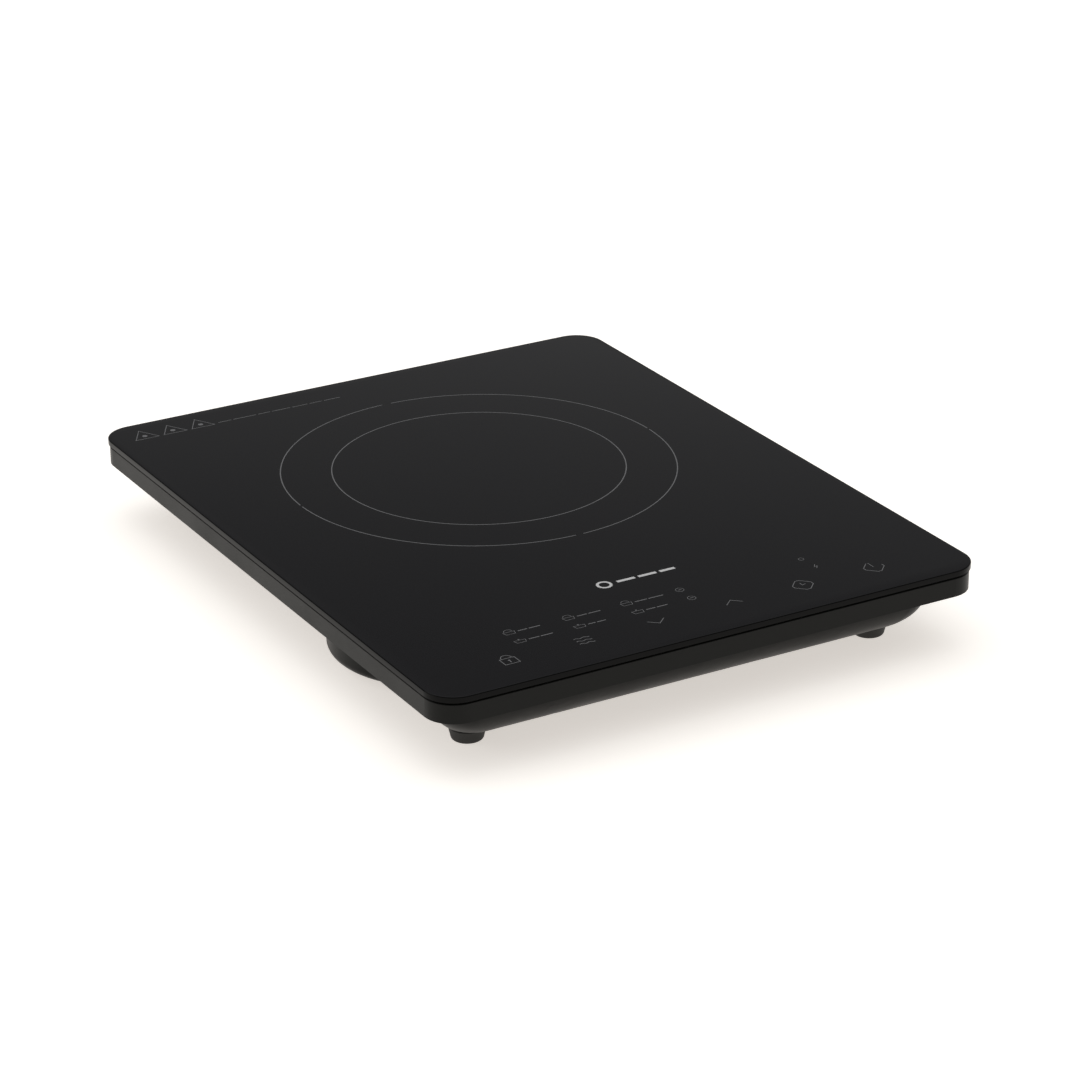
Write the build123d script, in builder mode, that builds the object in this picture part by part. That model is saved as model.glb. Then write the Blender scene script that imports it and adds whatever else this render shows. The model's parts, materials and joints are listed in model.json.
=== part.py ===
from build123d import *
from math import cos, radians, sin
import os

# Slim single-zone induction hob, in millimetres. Origin on the worktop under the middle of the
# glass, +X to the right of the person at the controls, -Y towards that person, +Z up.

# ---- driving dimensions ----
WIDTH = 280.0
DEPTH = 353.0
HEIGHT = 42.0
GLASS_THICKNESS = 3.5
GLASS_CORNER = 15.0
TOP_ARRIS = 0.6
LOWER_ARRIS = 0.4
SEAL_THICKNESS = 0.5
RIM_HEIGHT = 9.0
RIM_INSET = 0.7
WALL = 2.4

# dished pan under the rim: its wall starts upright and rounds into the floor
PAN_SIDE_INSET = 12.5
PAN_END_INSET = 13.5
PAN_CORNER = 16.0
PAN_FLOOR_CORNER = 11.6
SWEEP_STEPS = 9

# rubber feet
FOOT_X = 105.4
FOOT_Y = 136.6
FOOT_HEIGHT = 6.0
FOOT_TOP_RADIUS = 8.5
FOOT_BASE_RADIUS = 7.1
FOOT_ROUND = 1.6
FOOT_RECESS, FOOT_RECESS_RADIUS = 3.0, 4.2
FOOT_HOLE = 2.2
PAD_LIP = 0.1
FOOT_POST_RADIUS = 5.5
FOOT_POST_TOP = 18.0

# fan and its round boss in the pan
FAN_X = -77.0
FAN_Y = -55.7
BOSS_RADIUS = 49.7
BOSS_ROUND = 4.0
GRILLE_RADII = (12.0, 18.0, 24.0, 30.0, 36.0, 42.0)
GRILLE_SLOT = 3.0
GRILLE_SPOKE = 4.0
FAN_BLADES = 7
FAN_EAR_ANGLES = (0, 110, -110)
FAN_EAR_RADIUS = 49.0
EAR_THICKNESS = 2.5

# coil
COIL_Y = 41.5
COIL_INNER = 21.6
COIL_TURNS = 19
TURN_PITCH = 3.2
FORMER_RADIUS = 88.0
FORMER_BOTTOM = 31.5
FORMER_PLATE = 2.0
FORMER_WALL = 3.8
LUG_RADIUS = 92.0
LUG_ANGLES = (60, 180, 300)
COIL_POST_RADIUS = 4.0
COIL_POST_TOP = 27.0
FERRITES = 8
FERRITE_SIZE = (52.0, 10.0, 5.0)
FERRITE_RADIUS = 50.0
FERRITE_BREAK = 0.8
MICA_RADIUS, MICA_HOLE = 86.0, 10.0
MICA_THICKNESS = 0.5

# boards
BOARD_THICKNESS = 1.6
BOARD_BOTTOM = 12.0
BOARD_LEFT, BOARD_RIGHT = -18.0, 84.0
BOARD_FRONT, BOARD_BACK = -118.0, 58.0
BOARD_SCREW_INSET = 4.0
BOARD_CORNER = 2.0
CONTROL_BOTTOM = 31.4
CONTROL_HALF_WIDTH = 99.5
CONTROL_FRONT, CONTROL_BACK = -164.5, -122.0
CONTROL_CORNER = 3.0
POST_RADIUS = 3.2
CONNECTOR_HEIGHT = 5.0
KEY_Y = -154.0
KEY_X = (-95.0, -56.5, -19.5, 20.0, 57.0, 95.0)
LIGHT_ROWS = (-130.5, -140.0)
LIGHT_X = (-81.0, -51.0, -21.5, 6.7, 72.5)
DISPLAY_CENTRE = (39.0, -135.2)
DISPLAY_SIZE = (44.0, 16.0)
SHROUD_CENTRE = (-4.5, -135.2)
SHROUD_SIZE = (170.0, 20.0)
SHROUD_WINDOW = (8.0, 6.4)

# cord entry
CORD_X = -85.0
CORD_Z = 17.0
CORD_BOX = (26.0, 50.0)
CORD_BOX_BACK = 173.5
CORD_BOX_CORNER = 4.0
GLAND_RADIUS = 6.2
GLAND_FLANGE = 8.0
CORD_BORE = 4.1

# slots that let the warm air out through the back wall
AIR_SLOTS = 16
AIR_SLOT_X, AIR_SLOT_Z = 30.0, 18.0
AIR_SLOT_SIZE = (11.0, 3.0)
AIR_SLOT_PITCH = 7.0

# fastenings
THREAD = 1.4
CLEAR = 1.7
CASE_THREAD = 1.75
CASE_CLEAR = 2.0
SMALL_HEAD, SMALL_HEAD_HEIGHT = 2.8, 1.8

# ---- heights and plans that follow from them ----
glass_bottom = HEIGHT - GLASS_THICKNESS
rim_top = glass_bottom - SEAL_THICKNESS
rim_bottom = rim_top - RIM_HEIGHT
floor_bottom = FOOT_HEIGHT
floor_top = floor_bottom + WALL
ledge_top = rim_bottom + WALL
pan_radius = rim_bottom - floor_bottom
cord_box_centre = (CORD_X, CORD_BOX_BACK - CORD_BOX[1] / 2)
foot_taper = (FOOT_TOP_RADIUS - FOOT_BASE_RADIUS) / FOOT_HEIGHT
board_top = BOARD_BOTTOM + BOARD_THICKNESS
connector_top = board_top + CONNECTOR_HEIGHT
control_top = CONTROL_BOTTOM + BOARD_THICKNESS
former_top = FORMER_BOTTOM + FORMER_PLATE
coil_top = glass_bottom - MICA_THICKNESS
coil_outer = COIL_INNER + COIL_TURNS * TURN_PITCH
foot_places = {
    "front_left": (-FOOT_X, -FOOT_Y),
    "front_right": (FOOT_X, -FOOT_Y),
    "back_left": (-FOOT_X, FOOT_Y),
    "back_right": (FOOT_X, FOOT_Y),
}
STAND = (Align.CENTER, Align.CENTER, Align.MIN)
HANG = (Align.CENTER, Align.CENTER, Align.MAX)
FAN_AXIS = Axis((FAN_X, FAN_Y, 0), (0, 0, 1))
COIL_AXIS = Axis((0, COIL_Y, 0), (0, 0, 1))


def polar(x, y, radius, angle):
    """Point at a radius and an angle in degrees from (x, y)."""
    return (x + radius * cos(radians(angle)), y + radius * sin(radians(angle)))


def upright(x, y, turn=0):
    """Vertical plane through (x, y): its X axis runs out at the turn angle and its Y axis runs up."""
    out = Vector(1, 0, 0).rotate(Axis.Z, turn)
    return Plane(origin=(x, y, 0), x_dir=out, z_dir=out.cross(Vector(0, 0, 1)))


def outline(points, plane):
    """Closed straight-sided face through the points, on the plane."""
    with BuildSketch(plane) as face:
        with BuildLine():
            Polyline(*points, close=True)
        make_face()
    return face.sketch


def inset_plan(inset, height):
    """Rounded rectangle inset evenly from the edge of the glass, at a height."""
    with BuildSketch(Plane.XY.offset(height)) as plan:
        RectangleRounded(WIDTH - 2 * inset, DEPTH - 2 * inset, GLASS_CORNER - inset)
    return plan.sketch


def pan_wall(depth):
    """Insets and heights down the pan's wall, a depth inside its outer face."""
    radius = pan_radius - depth
    angles = [radians(90 * step / SWEEP_STEPS) for step in range(SWEEP_STEPS + 1)]
    return [(pan_radius - radius * cos(angle), rim_bottom - radius * sin(angle)) for angle in angles]


def pan_plan(inset, height):
    """Plan of the pan at one step down its wall, with corners that tighten towards the floor."""
    share = (1 - inset / pan_radius) ** 3
    corner = PAN_FLOOR_CORNER + (PAN_CORNER - PAN_FLOOR_CORNER) * share
    with BuildSketch(Plane.XY.offset(height)) as plan:
        RectangleRounded(
            WIDTH - 2 * (PAN_SIDE_INSET + inset), DEPTH - 2 * (PAN_END_INSET + inset), corner
        )
    return plan.sketch


def screw(head_radius, head_height, shank_radius, shank_length):
    """Cross-recessed pan-head screw, head up, with the underside of its head at the origin."""
    slot = head_radius * 1.1
    with BuildPart() as made:
        Cylinder(head_radius, head_height, align=STAND)
        fillet(made.edges().sort_by(Axis.Z)[-1], head_height * 0.4)
        Cylinder(shank_radius, shank_length, align=HANG)
        with Locations((0, 0, head_height)):
            Box(slot, slot / 5, head_height, mode=Mode.SUBTRACT)
            Box(slot / 5, slot, head_height, mode=Mode.SUBTRACT)
    return made.part


def spring(radius, wire, pitch, bottom, top):
    """Open coil spring about the Z axis, with its wire between two heights."""
    height = top - bottom - 2 * wire
    with BuildPart() as made:
        with BuildLine() as path:
            Helix(pitch, height, radius, center=(0, 0, bottom + wire))
        with BuildSketch(Plane(path.line @ 0, z_dir=path.line % 0)):
            Circle(wire)
        sweep(is_frenet=True)
    return made.part


def blocks(centres, size, bottom):
    """Equal blocks standing at a height, with their upright corners just broken."""
    with BuildPart() as made:
        with Locations(*[(x, y, bottom) for x, y in centres]):
            Box(*size, align=STAND)
        chamfer(made.edges().filter_by(Axis.Z), min(size[:2]) * 0.06)
    return made.part


# ---- where things stand inside ----
lug_places = [polar(0, COIL_Y, LUG_RADIUS, angle) for angle in LUG_ANGLES]
ear_places = [polar(FAN_X, FAN_Y, FAN_EAR_RADIUS, angle) for angle in FAN_EAR_ANGLES]
board_places = [
    (x, y)
    for x in (BOARD_LEFT + BOARD_SCREW_INSET, BOARD_RIGHT - BOARD_SCREW_INSET)
    for y in (BOARD_FRONT + BOARD_SCREW_INSET, BOARD_BACK - BOARD_SCREW_INSET)
]
control_places = [(-93, -126), (93, -126), (-76, -157), (76, -157)]

# ---- glass ----
with BuildPart() as glass_panel:
    extrude(inset_plan(0, glass_bottom), amount=GLASS_THICKNESS)
    chamfer(glass_panel.faces().sort_by(Axis.Z)[-1].edges(), TOP_ARRIS)
    chamfer(glass_panel.faces().sort_by(Axis.Z)[0].edges(), LOWER_ARRIS)

# ---- adhesive seal between the glass and what carries it, set back to leave a thin gap ----
SEAL_INSET, SEAL_WIDTH = 2.4, 11.6
with BuildPart() as glass_seal:
    extrude(inset_plan(SEAL_INSET, rim_top), amount=SEAL_THICKNESS)
    extrude(
        inset_plan(SEAL_INSET + SEAL_WIDTH, rim_top), amount=SEAL_THICKNESS, mode=Mode.SUBTRACT
    )

# ---- frame bonded to the glass, with a post down to each foot ----
FRAME_BOTTOM = 35.0
FRAME_OUTER = RIM_INSET + WALL + 0.3
FRAME_INNER = 15.0
FRAME_CORNER = 5.0
FRAME_POST = 4.5
FRAME_TAB = (23.0, 12.0)
SCREW_HOLE = 11.0
with BuildPart() as glass_frame:
    extrude(inset_plan(FRAME_OUTER, FRAME_BOTTOM), amount=rim_top - FRAME_BOTTOM)
    with BuildSketch(Plane.XY.offset(FRAME_BOTTOM)):
        RectangleRounded(WIDTH - 2 * FRAME_INNER, DEPTH - 2 * FRAME_INNER, FRAME_CORNER)
    extrude(amount=rim_top - FRAME_BOTTOM, mode=Mode.SUBTRACT)
    for x, y in foot_places.values():
        outward = 1 if x > 0 else -1
        with Locations((x, y, FOOT_POST_TOP)):
            Cylinder(FRAME_POST, rim_top - FOOT_POST_TOP, align=STAND)
        with Locations((x + outward * FRAME_TAB[0] / 2, y, FRAME_BOTTOM)):
            Box(*FRAME_TAB, rim_top - FRAME_BOTTOM, align=STAND)
        with Locations((x, y, FOOT_POST_TOP)):
            Cylinder(CASE_THREAD, SCREW_HOLE, align=STAND, mode=Mode.SUBTRACT)

# ---- housing tray: rim band, dished pan, fan boss and cord box in one moulding ----
RIM_EDGE = 0.4
OVERLAP = 0.5
BOARD_HOLE, COIL_HOLE, CONTROL_HOLE = 4.5, 12.0, 8.0
SLOT_REACH = 45.0
with BuildPart() as housing_tray:
    extrude(inset_plan(RIM_INSET, rim_bottom), amount=RIM_HEIGHT)
    fillet(housing_tray.faces().sort_by(Axis.Z)[-1].edges(), RIM_EDGE)
    loft([pan_plan(inset, height) for inset, height in pan_wall(0)])
    with BuildSketch(upright(FAN_X, FAN_Y)):
        with BuildLine():
            Polyline(
                (BOSS_RADIUS, floor_bottom + BOSS_ROUND),
                (BOSS_RADIUS, rim_bottom + OVERLAP),
                (0, rim_bottom + OVERLAP),
                (0, floor_bottom),
                (BOSS_RADIUS - BOSS_ROUND, floor_bottom),
            )
            RadiusArc(
                (BOSS_RADIUS - BOSS_ROUND, floor_bottom),
                (BOSS_RADIUS, floor_bottom + BOSS_ROUND),
                -BOSS_ROUND,
            )
        make_face()
    revolve(axis=FAN_AXIS)
    with BuildSketch(Plane.XY.offset(floor_bottom)):
        with Locations(cord_box_centre):
            RectangleRounded(*CORD_BOX, CORD_BOX_CORNER)
    extrude(amount=rim_bottom - floor_bottom + OVERLAP)
    outside = housing_tray.part

    # hollow it, leaving the wall
    extrude(inset_plan(RIM_INSET + WALL, ledge_top), amount=RIM_HEIGHT, mode=Mode.SUBTRACT)
    loft([pan_plan(inset, height) for inset, height in pan_wall(WALL)], mode=Mode.SUBTRACT)
    extrude(pan_plan(WALL, rim_bottom), amount=WALL, mode=Mode.SUBTRACT)
    with Locations((FAN_X, FAN_Y, floor_top)):
        Cylinder(BOSS_RADIUS - WALL, ledge_top - floor_top, align=STAND, mode=Mode.SUBTRACT)
    with BuildSketch(Plane.XY.offset(floor_top)):
        with Locations(cord_box_centre):
            RectangleRounded(*[side - 2 * WALL for side in CORD_BOX], CORD_BOX_CORNER - WALL)
    extrude(amount=ledge_top - floor_top, mode=Mode.SUBTRACT)

    # posts stand on the floor or on the curve of the wall
    with Locations(*[(x, y, floor_bottom + 1) for x, y in (*ear_places, *board_places)]):
        Cylinder(POST_RADIUS, BOARD_BOTTOM - floor_bottom - 1, align=STAND)
    with Locations(*[(x, y, floor_bottom + 1) for x, y in lug_places]):
        Cylinder(COIL_POST_RADIUS, COIL_POST_TOP - floor_bottom - 1, align=STAND)
    with Locations(*[(x, y, floor_bottom + 1) for x, y in control_places]):
        Cylinder(POST_RADIUS, CONTROL_BOTTOM - floor_bottom - 1, align=STAND)
    with Locations(*[(x, y, floor_bottom + 1) for x, y in foot_places.values()]):
        Cylinder(FOOT_POST_RADIUS, FOOT_POST_TOP - floor_bottom - 1, align=STAND)
    add(outside, mode=Mode.INTERSECT)

    # pads over the feet carry on their taper, and a case screw goes up through each post
    pad_radius = FOOT_TOP_RADIUS + PAD_LIP
    with Locations(*[(x, y, floor_bottom) for x, y in foot_places.values()]):
        Cone(pad_radius, pad_radius + foot_taper * WALL, WALL, align=STAND)
        Cylinder(CASE_CLEAR, FOOT_POST_TOP - floor_bottom, align=STAND, mode=Mode.SUBTRACT)

    # screw holes in the posts
    with Locations(*[(x, y, BOARD_BOTTOM) for x, y in (*ear_places, *board_places)]):
        Cylinder(THREAD, BOARD_HOLE, align=HANG, mode=Mode.SUBTRACT)
    with Locations(*[(x, y, COIL_POST_TOP) for x, y in lug_places]):
        Cylinder(THREAD, COIL_HOLE, align=HANG, mode=Mode.SUBTRACT)
    with Locations(*[(x, y, CONTROL_BOTTOM) for x, y in control_places]):
        Cylinder(THREAD, CONTROL_HOLE, align=HANG, mode=Mode.SUBTRACT)

    # fan intake: rings of slots parted by spokes
    with BuildSketch(Plane.XY.offset(floor_bottom)):
        with Locations((FAN_X, FAN_Y)):
            for radius in reversed(GRILLE_RADII):
                Circle(radius + GRILLE_SLOT / 2)
                Circle(radius - GRILLE_SLOT / 2, mode=Mode.SUBTRACT)
            for angle in (30, 90, 150):
                Rectangle(2 * BOSS_RADIUS, GRILLE_SPOKE, rotation=angle, mode=Mode.SUBTRACT)
    extrude(amount=WALL, mode=Mode.SUBTRACT)

    # warm air leaves through upright slots in the back wall
    with BuildSketch(Plane.XZ.offset(-DEPTH / 2)):
        with Locations((AIR_SLOT_X, AIR_SLOT_Z)):
            with GridLocations(AIR_SLOT_PITCH, 0, AIR_SLOTS, 1):
                SlotOverall(*AIR_SLOT_SIZE, rotation=90)
    extrude(amount=SLOT_REACH, mode=Mode.SUBTRACT)

    # round hole for the cord gland
    with BuildSketch(Plane.XZ.offset(-CORD_BOX_BACK)):
        with Locations((CORD_X, CORD_Z)):
            Circle(GLAND_RADIUS)
    extrude(amount=WALL, mode=Mode.SUBTRACT)

# ---- cord gland: grooved grommet in the back wall, bored for a round cord ----
cord_axis = Axis((CORD_X, CORD_BOX_BACK, CORD_Z), (0, 1, 0))
with BuildPart() as cord_gland:
    profile = [
        (CORD_BORE, 2.6),
        (CORD_BORE + 2, 2.6),
        (GLAND_FLANGE, 1.0),
        (GLAND_FLANGE, 0),
        (GLAND_RADIUS, 0),
        (GLAND_RADIUS, -WALL),
        (GLAND_FLANGE - 0.3, -WALL),
        (GLAND_FLANGE - 1, -WALL - 2.2),
        (CORD_BORE, -WALL - 2.2),
    ]
    along = Plane(origin=(CORD_X, CORD_BOX_BACK, CORD_Z), x_dir=(1, 0, 0), z_dir=(0, 0, 1))
    revolve(outline(profile, along), axis=cord_axis)

# ---- rubber feet ----
feet = {}
for place, (x, y) in foot_places.items():
    with BuildPart() as foot:
        section = [
            (FOOT_RECESS_RADIUS, 0),
            (FOOT_BASE_RADIUS, 0),
            (FOOT_TOP_RADIUS, FOOT_HEIGHT),
            (FOOT_HOLE, FOOT_HEIGHT),
            (FOOT_HOLE, FOOT_RECESS),
            (FOOT_RECESS_RADIUS, FOOT_RECESS),
        ]
        revolve(outline(section, upright(x, y)), axis=Axis((x, y, 0), (0, 0, 1)))
        ground_edges = foot.edges().group_by(Axis.Z)[0]
        fillet(ground_edges.filter_by(GeomType.CIRCLE).sort_by(SortBy.RADIUS)[-1], FOOT_ROUND)
    feet["foot_" + place] = foot

# ---- screws that go up through the feet into the frame's posts ----
case_screw = Rot(180, 0, 0) * screw(
    head_radius=3.7, head_height=2.0, shank_radius=CASE_THREAD, shank_length=25
)
with BuildPart() as case_screws:
    with Locations(*[(x, y, FOOT_RECESS) for x, y in foot_places.values()]):
        add(case_screw)

# ---- coil former: plate, inner and outer walls, lugs, ferrite rails ----
LUG_OUTER, LUG_NECK = 5.5, 6.5
FERRITE_WINDOW = (48.0, 12.0)
RAIL_SIZE = (50.0, 1.2)
RAIL_GAP = 11.4
SENSOR_HOLE = 6.0
RAIL_DROP = 3.0
OUTER_WALL_GAP, INNER_WALL_GAP, INNER_WALL = 2.0, 0.6, 2.0
NECK_SHARE = 0.97
with BuildPart() as coil_former:
    with BuildSketch(Plane.XY.offset(FORMER_BOTTOM)):
        with Locations((0, COIL_Y)):
            Circle(FORMER_RADIUS)
        for x, y in lug_places:
            with Locations((x, y)):
                Circle(LUG_OUTER)
            with Locations((x * NECK_SHARE, COIL_Y + (y - COIL_Y) * NECK_SHARE)):
                Circle(LUG_NECK)
    extrude(amount=FORMER_PLATE)
    with Locations((0, COIL_Y, former_top)):
        Cylinder(FORMER_RADIUS - 1, FORMER_WALL, align=STAND)
        Cylinder(coil_outer + OUTER_WALL_GAP, FORMER_WALL, align=STAND, mode=Mode.SUBTRACT)
        Cylinder(COIL_INNER - INNER_WALL_GAP, FORMER_WALL, align=STAND)
        Cylinder(
            COIL_INNER - INNER_WALL_GAP - INNER_WALL, FORMER_WALL, align=STAND, mode=Mode.SUBTRACT
        )
    with BuildSketch(Plane.XY.offset(FORMER_BOTTOM)):
        with Locations((0, COIL_Y)):
            Circle(SENSOR_HOLE)
            with PolarLocations(FERRITE_RADIUS + 3, FERRITES, start_angle=0):
                SlotOverall(*FERRITE_WINDOW)
        for x, y in lug_places:
            with Locations((x, y)):
                Circle(CLEAR)
    extrude(amount=FORMER_PLATE, mode=Mode.SUBTRACT)
    with BuildSketch(Plane.XY.offset(FORMER_BOTTOM)):
        with Locations((0, COIL_Y)):
            with PolarLocations(FERRITE_RADIUS, FERRITES, start_angle=180 / FERRITES):
                with GridLocations(0, RAIL_GAP, 1, 2):
                    Rectangle(*RAIL_SIZE)
    extrude(amount=-RAIL_DROP)

# ---- ferrite bars under the former ----
with BuildPart() as ferrite_bars:
    with Locations((0, COIL_Y, FORMER_BOTTOM)):
        with PolarLocations(FERRITE_RADIUS, FERRITES, start_angle=180 / FERRITES):
            Box(*FERRITE_SIZE, align=HANG)
    chamfer(ferrite_bars.edges().filter_by(Axis.Z), FERRITE_BREAK)

# ---- flat litz coil, with its turns as ridges on the upper face ----
RIDGE = 1.1
with BuildPart() as induction_coil:
    with BuildSketch(upright(0, COIL_Y)):
        with BuildLine():
            Polyline(
                (coil_outer, coil_top - RIDGE),
                (coil_outer, former_top),
                (COIL_INNER, former_top),
                (COIL_INNER, coil_top - RIDGE),
            )
            for turn in range(COIL_TURNS):
                start = COIL_INNER + turn * TURN_PITCH
                ThreePointArc(
                    (start, coil_top - RIDGE),
                    (start + TURN_PITCH / 2, coil_top),
                    (start + TURN_PITCH, coil_top - RIDGE),
                )
        make_face()
    revolve(axis=COIL_AXIS)

with BuildPart() as insulating_sheet:
    with Locations((0, COIL_Y, coil_top)):
        Cylinder(MICA_RADIUS, MICA_THICKNESS, align=STAND)
        Cylinder(MICA_HOLE, MICA_THICKNESS, align=STAND, mode=Mode.SUBTRACT)

# ---- springs and screws that press the coil up to the glass ----
coil_spring = spring(radius=3.0, wire=0.4, pitch=1.45, bottom=COIL_POST_TOP, top=FORMER_BOTTOM)
with BuildPart() as coil_springs:
    with Locations(*lug_places):
        add(coil_spring)

coil_screw = screw(SMALL_HEAD, SMALL_HEAD_HEIGHT, THREAD, shank_length=17)
with BuildPart() as coil_screws:
    with Locations(*[(x, y, former_top) for x, y in lug_places]):
        add(coil_screw)

# ---- temperature sensor in the middle of the coil ----
SENSOR_RADIUS = 2.5
HOLDER_FLANGE, HOLDER_NECK = 9.0, 6.8
GLASS_CLEARANCE = 0.3
with BuildPart() as sensor_holder:
    section = [
        (SENSOR_RADIUS, FORMER_BOTTOM),
        (SENSOR_HOLE, FORMER_BOTTOM),
        (SENSOR_HOLE, former_top),
        (HOLDER_FLANGE, former_top),
        (HOLDER_FLANGE - 0.4, former_top + 1.8),
        (HOLDER_NECK, former_top + 2.4),
        (HOLDER_NECK - 0.4, glass_bottom - GLASS_CLEARANCE),
        (SENSOR_RADIUS, glass_bottom - GLASS_CLEARANCE),
    ]
    revolve(outline(section, upright(0, COIL_Y)), axis=COIL_AXIS)

with BuildPart() as thermal_sensor:
    with Locations((0, COIL_Y, FORMER_BOTTOM + 1)):
        Cylinder(SENSOR_RADIUS, glass_bottom - FORMER_BOTTOM - 1, align=STAND)
    fillet(thermal_sensor.edges().sort_by(Axis.Z)[0], 1.0)

SENSOR_LEAD, SENSOR_LEAD_SPAN = 0.7, 2.0
with BuildPart() as sensor_leads:
    with Locations((0, COIL_Y, connector_top)):
        with GridLocations(SENSOR_LEAD_SPAN, 0, 2, 1):
            Cylinder(SENSOR_LEAD, FORMER_BOTTOM + 1 - connector_top, align=STAND)

# ---- power board ----
lead_places = [polar(0, COIL_Y, radius, -45) for radius in (36, 70)]
SINK_X, SINK_Y = 15.0, -79.0
SINK_WIDTH, SINK_DEPTH = 50.0, 54.0
SINK_BASE, SINK_PLATE = 19.0, 3.2
SINK_LEG = 4.0
SINK_FINS, FIN_THICKNESS, FIN_HEIGHT = 9, 1.6, 7.0
SINK_THREAD, SINK_HOLE = 1.2, 5.0
leg_offset = (SINK_WIDTH - SINK_LEG) / 2
sink_legs = [(SINK_X - leg_offset, SINK_Y), (SINK_X + leg_offset, SINK_Y)]
with BuildPart() as main_board:
    with BuildSketch(Plane.XY.offset(BOARD_BOTTOM)):
        with Locations(((BOARD_LEFT + BOARD_RIGHT) / 2, (BOARD_FRONT + BOARD_BACK) / 2)):
            RectangleRounded(BOARD_RIGHT - BOARD_LEFT, BOARD_BACK - BOARD_FRONT, BOARD_CORNER)
        with Locations(lug_places[2]):
            Circle(COIL_POST_RADIUS + 1.5, mode=Mode.SUBTRACT)
        with Locations(*board_places, *sink_legs):
            Circle(CLEAR, mode=Mode.SUBTRACT)
    extrude(amount=BOARD_THICKNESS)

# heatsink that bridges the power devices
with BuildPart() as heatsink:
    with BuildSketch(upright(SINK_X, SINK_Y)):
        with Locations((0, SINK_BASE)):
            Rectangle(SINK_WIDTH, SINK_PLATE, align=(Align.CENTER, Align.MIN))
        with Locations((0, SINK_BASE + SINK_PLATE + FIN_HEIGHT / 2)):
            with GridLocations((SINK_WIDTH - FIN_THICKNESS) / (SINK_FINS - 1), 0, SINK_FINS, 1):
                Rectangle(FIN_THICKNESS, FIN_HEIGHT)
        with Locations((0, (board_top + SINK_BASE) / 2)):
            with GridLocations(2 * leg_offset, 0, 2, 1):
                Rectangle(SINK_LEG, SINK_BASE - board_top)
    extrude(amount=SINK_DEPTH / 2, both=True)
    with Locations(*[(x, y, board_top) for x, y in sink_legs]):
        Cylinder(SINK_THREAD, SINK_HOLE, align=STAND, mode=Mode.SUBTRACT)

heatsink_screw = Rot(180, 0, 0) * screw(
    head_radius=2.6, head_height=SMALL_HEAD_HEIGHT, shank_radius=SINK_THREAD, shank_length=6
)
with BuildPart() as heatsink_screws:
    with Locations(*[(x, y, BOARD_BOTTOM) for x, y in sink_legs]):
        add(heatsink_screw)

TRANSISTOR_X, TRANSISTOR_SIZE = SINK_X - 11, (15.8, 20.8, 4.8)
TRANSISTOR_LEG, TRANSISTOR_LEG_SPAN = (1.2, 6.0, 1.4), 5.4
with BuildPart() as power_transistor:
    with Locations((TRANSISTOR_X, SINK_Y, SINK_BASE)):
        Box(*TRANSISTOR_SIZE, align=HANG)
    with Locations(
        (TRANSISTOR_X, SINK_Y - (TRANSISTOR_SIZE[1] + TRANSISTOR_LEG[1]) / 2, board_top)
    ):
        with GridLocations(TRANSISTOR_LEG_SPAN, 0, 3, 1):
            Box(*TRANSISTOR_LEG, align=STAND)

RECTIFIER_X, RECTIFIER_SIZE = SINK_X + 9.5, (22.0, 18.0, 4.0)
RECTIFIER_LEG, RECTIFIER_LEG_SPAN = (1.2, 4.4, 2.2), 5.0
with BuildPart() as bridge_rectifier:
    with Locations((RECTIFIER_X, SINK_Y, SINK_BASE)):
        Box(*RECTIFIER_SIZE, align=HANG)
    with Locations((RECTIFIER_X, SINK_Y - RECTIFIER_SIZE[1] / 2 - 2, board_top)):
        with GridLocations(RECTIFIER_LEG_SPAN, 0, 4, 1):
            Box(*RECTIFIER_LEG, align=STAND)

FILM_PLACES, FILM_SIZE = ((63, -90), (63, -66)), (34.0, 20.0, 12.0)
with BuildPart() as film_capacitors:
    add(blocks(FILM_PLACES, FILM_SIZE, board_top))

CHOKE_X, CHOKE_Y = 67.0, -34.0
CHOKE_INNER, CHOKE_OUTER = 7.0, 12.5
CHOKE_BOTTOM, CHOKE_HEIGHT = board_top + 1.4, 9.0
CHOKE_TURNS, CHOKE_WIRE = 16, 1.4
choke_middle = (CHOKE_INNER + CHOKE_OUTER) / 2
choke_width = CHOKE_OUTER - CHOKE_INNER
with BuildPart() as choke_core:
    with Locations((CHOKE_X, CHOKE_Y, CHOKE_BOTTOM)):
        Cylinder(CHOKE_OUTER, CHOKE_HEIGHT, align=STAND)
        Cylinder(CHOKE_INNER, CHOKE_HEIGHT, align=STAND, mode=Mode.SUBTRACT)

with BuildPart() as choke_winding:
    with Locations((CHOKE_X, CHOKE_Y, CHOKE_BOTTOM + CHOKE_HEIGHT / 2)):
        with PolarLocations(choke_middle, CHOKE_TURNS):
            Box(choke_width + 3, CHOKE_WIRE, CHOKE_HEIGHT + 2 * CHOKE_WIRE)
        with PolarLocations(choke_middle, CHOKE_TURNS):
            Box(choke_width + 0.6, CHOKE_WIRE, CHOKE_HEIGHT, mode=Mode.SUBTRACT)

TRANSFORMER_PLACE = (14, -34)
TRANSFORMER_CORE, TRANSFORMER_BOBBIN = (18.0, 5.0, 11.0), (9.0, 15.0, 9.4)
with BuildPart() as transformer:
    with Locations((*TRANSFORMER_PLACE, board_top)):
        Box(*TRANSFORMER_CORE, align=STAND)
        Box(*TRANSFORMER_BOBBIN, align=STAND)

CAN_PLACES = ((-8, -36), (-8, -26), (-8, -16))
CAN_RADIUS, CAN_HEIGHT, CAN_ROUND = 4.0, 11.0, 0.6
with BuildPart() as electrolytic_capacitors:
    with Locations(*[(x, y, board_top) for x, y in CAN_PLACES]):
        Cylinder(CAN_RADIUS, CAN_HEIGHT, align=STAND)
    fillet(electrolytic_capacitors.edges().group_by(Axis.Z)[-1], CAN_ROUND)

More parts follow.
